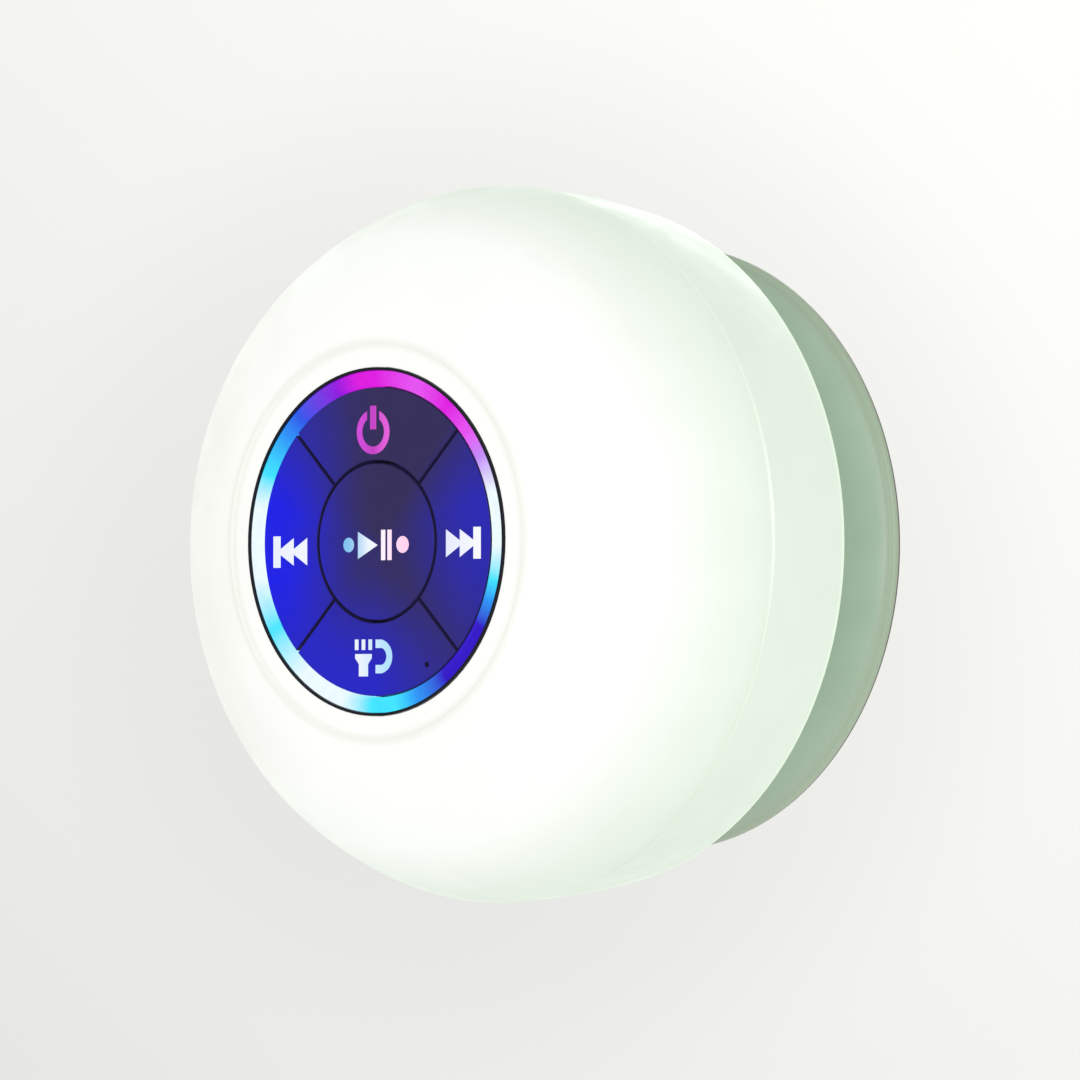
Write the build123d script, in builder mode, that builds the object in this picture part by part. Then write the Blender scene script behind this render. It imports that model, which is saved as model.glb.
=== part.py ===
from build123d import *
import os
from math import cos, radians, sin

# A shower speaker: a lit dome with a five-key panel, on a suction cup that it turns on.
# Millimetres. The speaker's axis is Y: the wall is the plane Y = 0 and the user stands on the -Y side.
# A station is the distance of a point from the wall, so a station s lies at Y = -s.

# ---- Driving dimensions ----------------------------------------------------------------------

fit_gap = 0.05          # clearance of pieces that are pressed or screwed together
turn_gap = 0.08         # radial clearance of what turns or slides

# Suction cup and stud
cup_r = 36.8
cup_seat_r = 34.8
cup_lip = 1.3
cup_roof = 7.0
neck_r = 9.0
neck_top = 12.4
flange_r = 7.0
flange_low = 9.45
flange_top = 10.85
stud_r = 4.52
stud_head_r = 6.3
stud_head_low = 14.5
stud_head_top = 17.5

# Retainer of the stud
retainer_low = 12.8
retainer_top = 14.3
retainer_r = 9.5
retainer_screw_pcr = 8.05
pocket_r = 6.6
pocket_floor = 18.0

# Rear shell
rear_edge = 15.5
rear_edge_r = 41.35
plate_low = 17.0
plate_top = 19.0
seam = 30.35
seam_gap = 0.2
dome_foot = seam + seam_gap
seam_r = 42.75
shell_inner_r = 39.6
tongue_r = 40.65
tongue_top = 32.3

# Front dome
dome_r = 42.98
dome_inner_r = 40.8
land_r = 23.3
land = 52.75
panel_hole_r = 20.72
panel_lip_back = 50.6

# Housing screws, four at the corners
corner_angle = 45
housing_screw_pcr = 36.5
housing_seat = 22.0

# Boards
board_post_pcr = 26.5
main_board_low = 43.4
main_board_top = 44.6
main_board_r = 29.0
control_board_low = 46.5
control_board_top = 47.5
control_board_r = 19.4
carrier_top = 49.6
carrier_pcr = 23.8

# Keypad
membrane_top = 50.1
membrane_r = 21.5
bezel_inner_r = 20.32
light_ring_r = 20.25
light_ring_inner_r = 18.45
light_ring_back = 50.15
key_back = 51.0
key_face = 52.7
key_r = 18.3
centre_key_r = 9.3
key_gap = 0.35
key_travel = 0.5
symbol_depth = 0.4
stem_r = 1.5
stem_ring_r = 13.9
barb_r = 2.0
barb_low = 49.0
barb_top = 49.4
switch_top = 48.3
stem_tip_low = 48.2
stem_tip_r = 0.8
pinhole = (8.15, -14.6)
pinhole_r = 0.35

# Speaker driver
driver_seat = 20.5
driver_flange_low = 21.4
driver_flange_top = 22.4
driver_flange_r = 21.9
driver_screw_pcr = 23.4
coil_r = 5.0
pole_r = 4.75
magnet_r = 13.5
magnet_low = 31.0
magnet_top = 36.0
yoke_top = 38.2
spider_low = 26.85
spider_seat = 27.4
spider_wall = 0.25
dust_cap_low = 23.4
dust_cap_bend = 11.3

# Charge port, on the user's left
port_station = 23.0
port_floor_x = -40.3
socket_mouth_x = -39.3
port_size = (9.6, 4.2)
flap_size = (14.0, 6.5)
flap_gap = 0.3
hinge_x = -42.1
hinge_z = 7.15
hinge_bead_r = 0.5
anchor_size = (2.4, 6.1)
anchor_z = 9.05
wire_r = 0.5
fine_wire_r = 0.3

os.makedirs("parts", exist_ok=True)

# Sketch plane of turned profiles: sketch x is the radius and sketch y the station.
PROFILE = Plane(origin=(0, 0, 0), x_dir=(1, 0, 0), z_dir=(0, 0, -1))


def across(station):
    """Plane across the axis: x is the user's right, y is up and its normal points at the user."""
    return Plane(origin=(0, -station, 0), x_dir=(1, 0, 0), z_dir=(0, -1, 0))


def outward(x):
    """Plane of the charge port, facing the user's left: sketch x is up and sketch y leads to the wall."""
    return Plane(origin=(x, -port_station, 0), x_dir=(0, 0, 1), z_dir=(-1, 0, 0))


def polar(radius, angle):
    """Sketch point at a radius and an angle from the user's right."""
    return (radius * cos(radians(angle)), radius * sin(radians(angle)))


def places(radius, count, start):
    """Evenly spaced sketch points on a circle."""
    return [polar(radius, start + i * 360 / count) for i in range(count)]


def ring(low, top, outer_r, inner_r=0.0):
    """Turned ring or disc between two stations, joined to the part being built."""
    with BuildSketch(across(low)) as section:
        Circle(outer_r)
        if inner_r:
            Circle(inner_r, mode=Mode.SUBTRACT)
    extrude(section.sketch, amount=top - low)


def studs(points, low, top, radius, mode=Mode.ADD):
    """Round posts, or holes, between two stations at a list of points."""
    with BuildSketch(across(low)) as section:
        with Locations(*points):
            Circle(radius)
    extrude(section.sketch, amount=top - low, mode=mode)


def screw_group(points, seat, head_r, head_height, shank_r, length, out):
    """Cross-head screws. out is +1 where the heads face the user and -1 where they face the wall."""
    with BuildPart() as group:
        studs(points, seat, seat + out * head_height, head_r)
        studs(points, seat, seat - out * length, shank_r)
        with BuildSketch(across(seat + out * head_height)):
            with Locations(*points):
                Rectangle(1.3 * head_r, 0.28 * head_r)
                Rectangle(0.28 * head_r, 1.3 * head_r)
        extrude(amount=-0.5 * out * head_height, mode=Mode.SUBTRACT)
    return group


def wire(points, radius, bends):
    """Round wire along a route with rounded corners."""
    with BuildLine() as route:
        FilletPolyline(*points, radius=bends)
    with BuildSketch(Plane(origin=route.line @ 0, z_dir=route.line % 0)) as section:
        Circle(radius)
    sweep(section.sketch, path=route.line)


corners = places(housing_screw_pcr, 4, corner_angle)
board_corners = places(board_post_pcr, 4, corner_angle)
retainer_points = places(retainer_screw_pcr, 3, 90)
driver_points = places(driver_screw_pcr, 4, 0)
carrier_points = places(carrier_pcr, 4, 0)
charge_pegs = [(-31.0, 5.9), (-31.0, -5.9)]

# ---- Suction cup -----------------------------------------------------------------------------

with BuildPart() as suction_cup:
    with BuildSketch(PROFILE):
        with BuildLine():
            Line((0, cup_roof), (8.0, cup_roof))
            ThreePointArc((8.0, cup_roof), (23.5, 4.3), (cup_seat_r, 0))
            Polyline((cup_seat_r, 0), (cup_r, 0), (cup_r, cup_lip), (cup_r - 0.5, cup_lip + 0.3))
            ThreePointArc((cup_r - 0.5, cup_lip + 0.3), (23.5, 6.6), (neck_r + 0.6, 9.6))
            Polyline((neck_r + 0.6, 9.6), (neck_r, 10.4), (neck_r, neck_top), (0, neck_top), (0, cup_roof))
        make_face()
    revolve(axis=Axis.Y)
    studs([(0, 0)], flange_low - fit_gap, flange_top + fit_gap, flange_r + fit_gap, Mode.SUBTRACT)
    studs([(0, 0)], flange_top, neck_top, stud_r + fit_gap, Mode.SUBTRACT)
suction_cup.part.label = "suction_cup"
export_step(suction_cup.part, "parts/suction_cup.step")

with BuildPart() as cup_stud:
    ring(flange_low, flange_top, flange_r)
    ring(flange_top, stud_head_low, stud_r)
    ring(stud_head_low, stud_head_top, stud_head_r)
    chamfer(cup_stud.faces().sort_by(Axis.Y)[0].edges(), 0.5)
cup_stud.part.label = "cup_stud"
export_step(cup_stud.part, "parts/cup_stud.step")

# ---- Rear shell and what holds it to the stud ------------------------------------------------

with BuildPart() as stud_retainer:
    ring(retainer_low, retainer_top, retainer_r, stud_r + turn_gap)
    studs(retainer_points, retainer_low, retainer_top, 0.8, Mode.SUBTRACT)
    studs(retainer_points, retainer_low, retainer_low + 0.8, 1.3, Mode.SUBTRACT)
stud_retainer.part.label = "stud_retainer"
export_step(stud_retainer.part, "parts/stud_retainer.step")

retainer_screws = screw_group(retainer_points, retainer_low + 0.8, 1.25, 0.75, 0.75, 2.7, -1)
retainer_screws.part.label = "retainer_screws"
export_step(retainer_screws.part, "parts/retainer_screws.step")

with BuildPart() as rear_shell:
    with BuildSketch(PROFILE):
        with BuildLine():
            Polyline(
                (0, plate_low), (39.9, plate_low), (40.1, rear_edge + 0.3), (40.4, rear_edge),
                (rear_edge_r - 0.3, rear_edge), (rear_edge_r, rear_edge + 0.3),
            )
            ThreePointArc((rear_edge_r, rear_edge + 0.3), (42.35, 22.5), (seam_r, seam - 0.35))
            Polyline(
                (seam_r, seam - 0.35), (seam_r - 0.35, seam), (tongue_r, seam), (tongue_r, tongue_top),
                (shell_inner_r, tongue_top), (shell_inner_r, plate_top), (0, plate_top), (0, plate_low),
            )
        make_face()
    revolve(axis=Axis.Y)
    ring(retainer_top, plate_low, retainer_r)
    ring(plate_top, driver_seat, 21.5, 17.3)
    studs(driver_points, plate_top, driver_flange_low, 2.3)
    studs(corners, plate_top, seam - 0.15, 3.4)
    studs(board_corners, plate_top, main_board_low, 2.2)
    studs(charge_pegs, plate_top, port_station + 1.7, 1.2)
    with BuildSketch(outward(-38.4)):
        Rectangle(22.0, 8.0)
    extrude(amount=2.0)
    studs([(0, 0)], retainer_top, pocket_floor, pocket_r, Mode.SUBTRACT)
    studs(retainer_points, retainer_top, 16.8, 0.75 + fit_gap, Mode.SUBTRACT)
    with BuildSketch(across(plate_low)):
        with PolarLocations(13.6, 12, start_angle=15):
            SlotOverall(6.0, 1.7)
    extrude(amount=plate_top - plate_low, mode=Mode.SUBTRACT)
    studs(driver_points, plate_top, driver_flange_low, 0.75, Mode.SUBTRACT)
    studs(board_corners, 37.0, main_board_low, 0.77, Mode.SUBTRACT)
    studs(charge_pegs, 21.0, port_station + 1.7, 0.6, Mode.SUBTRACT)
    studs(corners, plate_low, housing_seat, 2.5, Mode.SUBTRACT)
    studs(corners, housing_seat, seam, 1.1, Mode.SUBTRACT)
    with BuildSketch(outward(port_floor_x)):
        with Locations((1.3, 0)):
            RectangleRounded(18.6, flap_size[1] + flap_gap, 1.8)
    extrude(amount=4.0, mode=Mode.SUBTRACT)
    with BuildSketch(outward(-38.0)):
        RectangleRounded(*port_size, 1.4)
        with Locations((anchor_z, 0)):
            Circle(0.9)
    extrude(amount=4.0, mode=Mode.SUBTRACT)
rear_shell.part.label = "rear_shell"
export_step(rear_shell.part, "parts/rear_shell.step")

# ---- Front dome ------------------------------------------------------------------------------

with BuildPart() as front_dome:
    with BuildSketch(PROFILE):
        with BuildLine():
            Line((seam_r - 0.3, dome_foot), (dome_r, dome_foot + 0.35))
            Spline(
                (dome_r, dome_foot + 0.35), (41.6, 37.3), (38.2, 44.3), (35.2, 47.8), (29.8, 51.3),
                (land_r + 0.3, land + 0.2),
                tangents=[(0, 1), (-1, 0.12)],
            )
            Polyline(
                (land_r + 0.3, land + 0.2), (land_r, land), (panel_hole_r, land),
                (panel_hole_r, panel_lip_back), (22.8, panel_lip_back),
            )
            Spline((22.8, panel_lip_back), (28.6, 49.5), (33.9, 46.1), (36.4, 43.2), (dome_inner_r, 34.1))
            Polyline(
                (dome_inner_r, 34.1), (38.9, 34.1), (38.9, 33.1), (dome_inner_r, 33.1),
                (dome_inner_r, dome_foot), (seam_r - 0.3, dome_foot),
            )
        make_face()
    revolve(axis=Axis.Y)
    studs(corners, dome_foot, 41.8, 2.6)
    studs(carrier_points, carrier_top, 51.2, 2.0)
    studs(corners, dome_foot, 39.0, 1.05, Mode.SUBTRACT)
    studs(carrier_points, carrier_top, 51.0, 0.72, Mode.SUBTRACT)
front_dome.part.label = "front_dome"
export_step(front_dome.part, "parts/front_dome.step")

with BuildPart() as seam_gasket:
    ring(tongue_top, 33.1, tongue_r - fit_gap, shell_inner_r + 0.1)
seam_gasket.part.label = "seam_gasket"
export_step(seam_gasket.part, "parts/seam_gasket.step")

housing_screws = screw_group(corners, housing_seat, 2.1, 1.7, 1.0, 15.0, -1)
housing_screws.part.label = "housing_screws"
export_step(housing_screws.part, "parts/housing_screws.step")

# ---- Panel: bezel, light ring, membrane and keys ---------------------------------------------

with BuildPart() as bezel:
    ring(membrane_top, panel_lip_back - fit_gap, membrane_r, bezel_inner_r)
    ring(membrane_top, land + 0.25, panel_hole_r - 0.07, bezel_inner_r)
bezel.part.label = "bezel"
export_step(bezel.part, "parts/bezel.step")

with BuildPart() as light_ring:
    with BuildSketch(PROFILE):
        with BuildLine():
            Polyline(
                (light_ring_inner_r, 52.6), (light_ring_inner_r, light_ring_back),
                (light_ring_r, light_ring_back), (light_ring_r, 52.8),
            )
            ThreePointArc((light_ring_r, 52.8), (19.4, 53.0), (light_ring_inner_r, 52.6))
        make_face()
    revolve(axis=Axis.Y)
light_ring.part.label = "light_ring"
export_step(light_ring.part, "parts/light_ring.step")

stem_points = {
    "play": (0, 0),
    "power": polar(stem_ring_r, 90),
    "next": polar(stem_ring_r, 0),
    "lamp": polar(stem_ring_r, -90),
    "previous": polar(stem_ring_r, 180),
}

with BuildPart() as key_membrane:
    ring(carrier_top, membrane_top, membrane_r)
    studs(stem_points.values(), carrier_top, membrane_top, stem_r + turn_gap, Mode.SUBTRACT)
    studs([pinhole], carrier_top, membrane_top, 0.6, Mode.SUBTRACT)
key_membrane.part.label = "key_membrane"
export_step(key_membrane.part, "parts/key_membrane.step")


def skip_symbol(side, level):
    """Two arrowheads that run into a bar; side is +1 for next and -1 for previous."""
    for tail in (11.2, 13.4):
        tip = tail + 2.75
        Polygon(
            (side * tail, level + 1.65), (side * tip, level), (side * tail, level - 1.65), align=None,
        )
    with Locations((side * 16.15, level)):
        Rectangle(1.2, 3.75)


def power_symbol():
    """Open circle with a stroke in its gap."""
    with Locations((-0.5, 13.0)):
        Circle(2.65)
        Circle(1.75, mode=Mode.SUBTRACT)
    with Locations((-0.5, 15.1)):
        Rectangle(1.95, 2.4, mode=Mode.SUBTRACT)
    with Locations((-0.5, 14.7)):
        Rectangle(1.0, 2.8)


def play_symbol():
    """Dot, arrowhead, two bars, dot."""
    with Locations((-4.45, -0.35)):
        Circle(0.87)
    Polygon((-2.96, 1.2), (0.25, -0.42), (-2.96, -2.04), align=None)
    with Locations((1.13, -0.42), (2.15, -0.42)):
        Rectangle(0.7, 3.6)
    with Locations((4.25, -0.4)):
        Circle(1.0)


def lamp_symbol():
    """Telephone handset that bulges to the right, and a torch with three rays on its left."""
    with Locations((0.6, -13.6)):
        Circle(2.0)
        Circle(1.05, mode=Mode.SUBTRACT)
    with Locations((-0.9, -13.6)):
        Rectangle(3.0, 4.4, mode=Mode.SUBTRACT)
    with Locations((0.45, -12.1), (0.45, -15.1)):
        Rectangle(1.1, 1.0)
    with Locations((-3.15, -12.2), (-2.05, -12.2), (-0.95, -12.2)):
        Rectangle(0.6, 1.25)
    Polygon(
        (-3.4, -13.3), (-0.7, -13.3), (-0.7, -13.8), (-1.3, -14.5),
        (-1.3, -15.95), (-2.8, -15.95), (-2.8, -14.5), (-3.4, -13.8), align=None,
    )


symbols = {
    "play": play_symbol,
    "power": power_symbol,
    "next": lambda: skip_symbol(1, -0.35),
    "lamp": lamp_symbol,
    "previous": lambda: skip_symbol(-1, -1.05),
}
sector_turn = {"power": 0, "next": -90, "lamp": 180, "previous": 90}


def sector_outline(turn):
    """Quarter of the key ring, turned from the top one, with half a gap off each straight side."""
    Circle(key_r)
    Circle(centre_key_r + key_gap, mode=Mode.SUBTRACT)
    apex = key_gap / 2 / sin(radians(45))
    reach = 2 * key_r
    wedge = [(0, apex), (reach, apex + reach), (-reach, apex + reach)]
    Polygon(*wedge, rotation=turn, align=None, mode=Mode.INTERSECT)


for name, stem in stem_points.items():
    with BuildPart() as key:
        with BuildSketch(across(key_back)):
            if name in sector_turn:
                sector_outline(sector_turn[name])
            else:
                Circle(centre_key_r)
        extrude(amount=key_face - key_back)
        fillet(key.faces().sort_by(Axis.Y)[0].edges(), 0.22)
        studs([stem], barb_top, key_back, stem_r)
        studs([stem], barb_low, barb_top, barb_r)
        studs([stem], stem_tip_low, barb_low, stem_tip_r)
        with BuildSketch(across(key_face - symbol_depth)):
            symbols[name]()
        extrude(amount=symbol_depth, mode=Mode.SUBTRACT)
        if name == "lamp":
            studs([pinhole], key_back, key_face, pinhole_r, Mode.SUBTRACT)
    key.part.label = f"key_{name}"
    export_step(key.part, f"parts/key_{name}.step")

    with BuildPart() as symbol:
        with BuildSketch(across(key_face - symbol_depth)):
            symbols[name]()
        extrude(amount=symbol_depth)
    symbol.part.label = f"symbol_{name}"
    export_step(symbol.part, f"parts/symbol_{name}.step")

# ---- Control board and its carrier -----------------------------------------------------------

with BuildPart() as panel_carrier:
    ring(46.0, carrier_top, 21.7, 19.6)
    ring(46.0, 46.4, 19.7, 19.0)
    ring(control_board_top + 0.1, carrier_top, 19.7, 18.7)
    studs(carrier_points, control_board_top + 0.1, carrier_top, 2.6)
    studs([(0, 0)], 46.4, control_board_top + 0.1, 19.6, Mode.SUBTRACT)
    studs([(0, 0)], control_board_top + 0.1, carrier_top, 18.7, Mode.SUBTRACT)
    studs(carrier_points, control_board_top + 0.1, carrier_top, 0.8, Mode.SUBTRACT)
panel_carrier.part.label = "panel_carrier"
export_step(panel_carrier.part, "parts/panel_carrier.step")

carrier_screws = screw_group(carrier_points, control_board_top + 0.1, 1.4, 0.9, 0.7, 3.0, -1)
carrier_screws.part.label = "carrier_screws"
export_step(carrier_screws.part, "parts/carrier_screws.step")

with BuildPart() as control_board:
    ring(control_board_low, control_board_top, control_board_r)
control_board.part.label = "control_board"
export_step(control_board.part, "parts/control_board.step")

with BuildPart() as tact_switches:
    with BuildSketch(across(control_board_top)):
        with Locations(*stem_points.values()):
            Rectangle(4.5, 4.5)
    extrude(amount=switch_top - control_board_top)
    switch_well = stem_tip_low - key_travel - 0.1
    studs(stem_points.values(), switch_well, switch_top, stem_tip_r + turn_gap, Mode.SUBTRACT)
tact_switches.part.label = "tact_switches"
export_step(tact_switches.part, "parts/tact_switches.step")

with BuildPart() as ring_lamps:
    with BuildSketch(across(control_board_top)):
        with PolarLocations(17.6, 12, start_angle=15):
            Rectangle(1.5, 1.5)
    extrude(amount=0.7)
ring_lamps.part.label = "ring_lamps"
export_step(ring_lamps.part, "parts/ring_lamps.step")

with BuildPart() as microphone:
    studs([pinhole], control_board_top, 48.6, 1.6)
microphone.part.label = "microphone"
export_step(microphone.part, "parts/microphone.step")

with BuildPart() as microphone_boot:
    studs([pinhole], 48.6, carrier_top, 1.4)
    studs([pinhole], 48.6, carrier_top, 0.6, Mode.SUBTRACT)
microphone_boot.part.label = "microphone_boot"
export_step(microphone_boot.part, "parts/microphone_boot.step")

# ---- Main board ------------------------------------------------------------------------------

with BuildPart() as main_board:
    ring(main_board_low, main_board_top, main_board_r)
    studs(board_corners, main_board_low, main_board_top, 1.0, Mode.SUBTRACT)
main_board.part.label = "main_board"
export_step(main_board.part, "parts/main_board.step")

board_screws = screw_group(board_corners, main_board_top, 1.7, 1.0, 0.72, 6.0, 1)
board_screws.part.label = "board_screws"
export_step(board_screws.part, "parts/board_screws.step")

with BuildPart() as dome_lamps:
    with BuildSketch(across(main_board_top)):
        with PolarLocations(27.0, 8, start_angle=22.5):
            Rectangle(2.8, 2.8)
    extrude(amount=0.8)
dome_lamps.part.label = "dome_lamps"
export_step(dome_lamps.part, "parts/dome_lamps.step")

with BuildPart() as wireless_module:
    with BuildSketch(across(main_board_top)):
        with Locations((0, 2)):
            RectangleRounded(13.0, 16.0, 0.6)
    extrude(amount=1.6)
wireless_module.part.label = "wireless_module"
export_step(wireless_module.part, "parts/wireless_module.step")

with BuildPart() as amplifier_chip:
    with BuildSketch(across(main_board_top)):
        with Locations((16.0, -8.0)):
            Rectangle(5.0, 5.0)
    extrude(amount=0.9)
amplifier_chip.part.label = "amplifier_chip"
export_step(amplifier_chip.part, "parts/amplifier_chip.step")

with BuildPart() as board_connector:
    with BuildSketch(across(main_board_top)):
        with Locations((0, -14.0)):
            Rectangle(10.0, 2.4)
    extrude(amount=control_board_low - main_board_top)
board_connector.part.label = "board_connector"
export_step(board_connector.part, "parts/board_connector.step")

# ---- Battery ---------------------------------------------------------------------------------

battery_low = yoke_top + 0.5
battery_top = main_board_low - 0.2

with BuildPart() as battery_pad:
    with BuildSketch(across(yoke_top)):
        RectangleRounded(22.0, 22.0, 1.0)
    extrude(amount=battery_low - yoke_top)
battery_pad.part.label = "battery_pad"
export_step(battery_pad.part, "parts/battery_pad.step")

with BuildPart() as battery:
    with BuildSketch(across(battery_low)):
        RectangleRounded(30.0, 35.0, 1.5)
    extrude(amount=battery_top - battery_low)
    fillet(battery.edges().filter_by(Plane.XZ), 0.8)
battery.part.label = "battery"
export_step(battery.part, "parts/battery.step")

with BuildPart() as battery_leads:
    for x in (-2.0, 2.0):
        wire([(x, -41.0, 17.5), (x, -41.0, 21.5), (x, -main_board_low, 21.5)], fine_wire_r, 1.9)
battery_leads.part.label = "battery_leads"
export_step(battery_leads.part, "parts/battery_leads.step")

# ---- Speaker driver, facing the wall ---------------------------------------------------------

with BuildPart() as acoustic_mesh:
    ring(plate_top, plate_top + 0.25, 17.2)
acoustic_mesh.part.label = "acoustic_mesh"
export_step(acoustic_mesh.part, "parts/acoustic_mesh.step")

with BuildPart() as driver_gasket:
    ring(driver_seat, driver_flange_low, 20.9, 17.5)
driver_gasket.part.label = "driver_gasket"
export_step(driver_gasket.part, "parts/driver_gasket.step")

with BuildPart() as driver_basket:
    with BuildSketch(PROFILE):
        with BuildLine():
            Polyline(
                (17.0, driver_flange_low), (driver_flange_r, driver_flange_low),
                (driver_flange_r, driver_flange_top), (17.9, driver_flange_top), (14.4, 28.5), (6.4, 28.5),
                (6.4, 27.7), (13.5, 27.7), (17.0, driver_flange_top), close=True,
            )
        make_face()
    revolve(axis=Axis.Y)
    studs(driver_points, driver_flange_low, driver_flange_top, 2.4)
    studs(driver_points, driver_flange_low, driver_flange_top, 0.9, Mode.SUBTRACT)
    for side in (Plane.YZ, Plane.YX):
        with BuildSketch(side):
            with Locations((-25.1, 0)):
                Rectangle(3.4, 9.0)
        extrude(amount=20.0, both=True, mode=Mode.SUBTRACT)
driver_basket.part.label = "driver_basket"
export_step(driver_basket.part, "parts/driver_basket.step")

driver_screws = screw_group(driver_points, driver_flange_top, 1.7, 1.2, 0.7, 3.0, 1)
driver_screws.part.label = "driver_screws"
export_step(driver_screws.part, "parts/driver_screws.step")

with BuildPart() as cone_surround:
    with BuildSketch(PROFILE):
        with BuildLine():
            Line((13.95, 20.85), (14.4, 20.6))
            ThreePointArc((14.4, 20.6), (15.8, 19.75), (17.2, 20.9))
            Polyline((17.2, 20.9), (17.2, 21.35), (16.95, 21.35), (16.95, 21.0))
            ThreePointArc((16.95, 21.0), (15.8, 20.05), (14.5, 20.85))
            Line((14.5, 20.85), (13.95, 20.85))
        make_face()
    revolve(axis=Axis.Y)
cone_surround.part.label = "cone_surround"
export_step(cone_surround.part, "parts/cone_surround.step")

with BuildPart() as cone:
    with BuildSketch(PROFILE):
        with BuildLine():
            Polyline(
                (5.2, 26.0), (13.9, 20.9), (14.4, 20.9), (14.4, 21.2), (14.0, 21.2), (5.2, 26.35), close=True,
            )
        make_face()
    revolve(axis=Axis.Y)
cone.part.label = "cone"
export_step(cone.part, "parts/cone.step")

with BuildPart() as dust_cap:
    with BuildSketch(PROFILE):
        with BuildLine():
            rear_side = CenterArc((0, dust_cap_low + dust_cap_bend), dust_cap_bend, -90, 33)
            front_side = CenterArc((0, dust_cap_low + dust_cap_bend), dust_cap_bend - 0.25, -90, 33)
            Line(rear_side @ 0, front_side @ 0)
            Line(rear_side @ 1, front_side @ 1)
        make_face()
    revolve(axis=Axis.Y)
dust_cap.part.label = "dust_cap"
export_step(dust_cap.part, "parts/dust_cap.step")

with BuildPart() as coil_former:
    ring(25.9, 31.6, coil_r + 0.15, coil_r)
coil_former.part.label = "coil_former"
export_step(coil_former.part, "parts/coil_former.step")

with BuildPart() as voice_coil:
    ring(28.7, 31.3, coil_r + 0.42, coil_r + 0.15)
voice_coil.part.label = "voice_coil"
export_step(voice_coil.part, "parts/voice_coil.step")

with BuildPart() as spider:
    with BuildSketch(PROFILE):
        with BuildLine():
            rear_side = [
                (5.25, spider_low + 0.4), (6.9, spider_low), (8.6, spider_low + 0.4), (10.3, spider_low),
                (12.0, spider_low + 0.4), (12.6, spider_seat), (13.3, spider_seat),
            ]
            front_side = [(r, s + spider_wall) for r, s in reversed(rear_side)]
            Polyline(*rear_side, *front_side, close=True)
        make_face()
    revolve(axis=Axis.Y)
spider.part.label = "spider"
export_step(spider.part, "parts/spider.step")

with BuildPart() as top_plate:
    ring(28.5, magnet_low, 13.3, 5.6)
top_plate.part.label = "top_plate"
export_step(top_plate.part, "parts/top_plate.step")

with BuildPart() as magnet:
    ring(magnet_low, magnet_top, magnet_r, 7.2)
    chamfer(magnet.edges().filter_by(GeomType.CIRCLE), 0.3)
magnet.part.label = "magnet"
export_step(magnet.part, "parts/magnet.step")

with BuildPart() as yoke:
    ring(magnet_top, yoke_top, 13.2)
    ring(28.5, magnet_top, pole_r)
yoke.part.label = "yoke"
export_step(yoke.part, "parts/yoke.step")

terminal_angle = -67.5
with BuildPart() as terminal_strip:
    with BuildSketch(across(driver_flange_top)):
        with PolarLocations(19.8, 1, start_angle=terminal_angle):
            Rectangle(2.2, 5.0)
    extrude(amount=1.6)
terminal_strip.part.label = "terminal_strip"
export_step(terminal_strip.part, "parts/terminal_strip.step")

with BuildPart() as speaker_leads:
    stops = [(19.8, driver_flange_top + 1.6), (19.8, 29.0), (22.5, 35.0), (22.5, main_board_low)]
    for turn in (-4.0, 4.0):
        route = []
        for radius, station in stops:
            x, z = polar(radius, terminal_angle + turn)
            route.append((x, -station, z))
        wire(route, wire_r, 5.0)
speaker_leads.part.label = "speaker_leads"
export_step(speaker_leads.part, "parts/speaker_leads.step")

# ---- Charge port -----------------------------------------------------------------------------

charge_board_low = port_station + 1.7

with BuildPart() as charge_board:
    with BuildSketch(across(charge_board_low)):
        with Locations((-32.3, 0)):
            Rectangle(11.6, 14.4)
        with Locations(*charge_pegs):
            Circle(0.7, mode=Mode.SUBTRACT)
    extrude(amount=1.0)
charge_board.part.label = "charge_board"
export_step(charge_board.part, "parts/charge_board.step")

charge_board_screws = screw_group(charge_pegs, charge_board_low + 1.0, 1.2, 0.7, 0.55, 3.6, 1)
charge_board_screws.part.label = "charge_board_screws"
export_step(charge_board_screws.part, "parts/charge_board_screws.step")

with BuildPart() as charge_socket:
    with BuildSketch(outward(socket_mouth_x)):
        RectangleRounded(9.0, 3.2, 1.3)
    extrude(amount=-7.0)
    with BuildSketch(outward(socket_mouth_x)):
        RectangleRounded(8.4, 2.6, 1.2)
    extrude(amount=-6.2, mode=Mode.SUBTRACT)
    with BuildSketch(outward(socket_mouth_x + 1.0)):
        Rectangle(6.6, 0.7)
    extrude(amount=-6.0)
charge_socket.part.label = "charge_socket"
export_step(charge_socket.part, "parts/charge_socket.step")

with BuildPart() as charge_leads:
    for z in (-2.5, 2.5):
        route = [(-29.0, -25.7, z), (-29.0, -31.0, z), (-26.5, -37.0, z), (-26.5, -main_board_low, z)]
        wire(route, wire_r, 5.0)
charge_leads.part.label = "charge_leads"
export_step(charge_leads.part, "parts/charge_leads.step")


def band_skin():
    """Outer skin of the rear band, from which the flap and its anchor take their curved faces."""
    with BuildSketch(PROFILE) as section:
        with BuildLine():
            ThreePointArc((rear_edge_r, rear_edge + 0.3), (42.35, 22.5), (seam_r, seam - 0.35))
            Polyline(
                (seam_r, seam - 0.35), (38.0, seam - 0.35), (38.0, rear_edge + 0.3),
                (rear_edge_r, rear_edge + 0.3),
            )
        make_face()
    revolve(section.sketch, axis=Axis.Y)


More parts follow.
